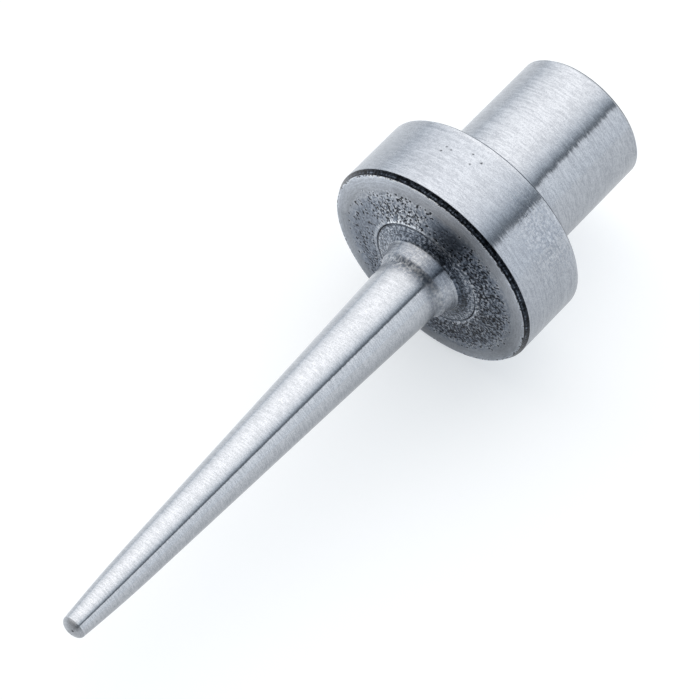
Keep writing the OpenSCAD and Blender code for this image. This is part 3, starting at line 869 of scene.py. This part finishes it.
PIECES = {
    make_housing(): "turned_steel",
    make_front_cover(): "turned_steel",
    make_spindle(): "point_steel",
    make_rear_plug(): "turned_steel",
}
for piece, slot in PIECES.items():
    piece.data.materials.append(SLOT_MATERIALS[slot])

for part in frame["record"]["subparts"]:
    obj = frame["nodes"][part["node"]]
    obj.data.materials.clear()
    obj.data.materials.append(SLOT_MATERIALS[part["material_slot"]])

# ---------------------------------------------------------------- studio
FLOOR_HALF = 4.0                    # metres


def make_floor():
    """A square floor at the height of the object's lowest point."""
    z = CAD_BOX[0][2]
    mesh = bpy.data.meshes.new("floor")
    corners = [(sx * FLOOR_HALF, sy * FLOOR_HALF, z)
               for sx, sy in ((-1, -1), (1, -1), (1, 1), (-1, 1))]
    mesh.from_pydata(corners, [], [(0, 1, 2, 3)])
    mesh.materials.append(floor_paint())
    floor = bpy.data.objects.new("floor", mesh)
    bpy.context.scene.collection.objects.link(floor)


# Brightness of the studio round the X axis: angle in degrees from +Y up towards +Z, level
ROUND_LIGHT = [
    (-180, 1.05), (-90, 1.1), (-10, 1.0), (0, 1.0), (4, 1.15), (14, 1.5), (34, 1.78), (54, 2.0),
    (76, 2.0), (92, 1.82), (102, 1.7), (112, 1.5), (122, 1.1), (128, 0.8), (134, 0.36),
    (140, 0.14), (141, 1.35), (152, 1.32), (166, 1.25), (180, 1.2),
]
LIGHT_MAX = 2.2
TIP_SIDE_LEVEL = 0.12               # share of the light that is left beyond the tip


def make_world():
    """Soft light that changes round the X axis and is dark beyond the tip."""
    world = bpy.data.worlds.new("studio")
    bpy.context.scene.world = world
    world.use_nodes = True
    tree = world.node_tree
    direction = add(tree, "ShaderNodeTexCoord").outputs["Generated"]
    x, y, z = add(tree, "ShaderNodeSeparateXYZ", Vector=direction).outputs
    angle = maths(tree, "ARCTAN2", z, y)
    place = remap(tree, angle, -math.pi, math.pi, 0, 1)
    ramp = add(tree, "ShaderNodeValToRGB", Fac=place)
    elements = ramp.color_ramp.elements
    while len(elements) > 1:
        elements.remove(elements[-1])
    for k, (degrees, level) in enumerate(ROUND_LIGHT):
        at = (degrees + 180) / 360
        element = elements[0] if k == 0 else elements.new(at)
        element.position = at
        share = level / LIGHT_MAX
        warmth = min(1.04, 0.72 + 0.17 * level)
        element.color = (share * warmth, share * (1 + warmth) / 2, share, 1)
    tip_side = remap(tree, x, -0.4, 0.0, TIP_SIDE_LEVEL, 1)
    colour = add(tree, "ShaderNodeVectorMath", {"operation": "SCALE"},
                 i0=ramp.outputs["Color"], Scale=tip_side).outputs[0]
    backdrop = add(tree, "ShaderNodeLightPath").outputs["Is Camera Ray"]
    seen = mix_colour(tree, backdrop, colour, (1 / LIGHT_MAX,) * 3)
    background = tree.nodes["Background"]
    tree.links.new(seen, background.inputs["Color"])
    background.inputs["Strength"].default_value = LIGHT_MAX


# The camera looks down on the object from the tip's side. The middle of the head's front
# sits right of and above the middle of the picture by these millimetres.
CAMERA_AZIMUTH = -50.21
CAMERA_ELEVATION = 57.13
CAMERA_DISTANCE = 503.3
FRONT_RIGHT = 9.99
FRONT_ABOVE = 10.21
CAMERA_LENS = 205.7
SENSOR_WIDTH = 36
NEAR_CLIP = 0.01                    # metres


def make_camera():
    """The camera, looking down on the object from the tip's side."""
    azimuth, elevation = math.radians(CAMERA_AZIMUTH), math.radians(CAMERA_ELEVATION)
    back = Vector((math.sin(azimuth) * math.cos(elevation),
                   -math.cos(azimuth) * math.cos(elevation), math.sin(elevation)))
    right = Vector((math.cos(azimuth), math.sin(azimuth), 0))
    above = back.cross(right)
    centre = Vector((RIM_X, 0, 0)) - right * FRONT_RIGHT - above * FRONT_ABOVE
    data = bpy.data.cameras.new("camera")
    data.lens = CAMERA_LENS
    data.sensor_width = SENSOR_WIDTH
    data.clip_start = NEAR_CLIP
    camera = bpy.data.objects.new("camera", data)
    turn = Matrix((right, above, back)).transposed().to_4x4()
    camera.matrix_world = Matrix.Translation((centre + back * CAMERA_DISTANCE) * MM) @ turn
    bpy.context.scene.collection.objects.link(camera)
    bpy.context.scene.camera = camera


make_floor()
make_world()
make_camera()
bpy.context.scene.view_settings.view_transform = "Standard"
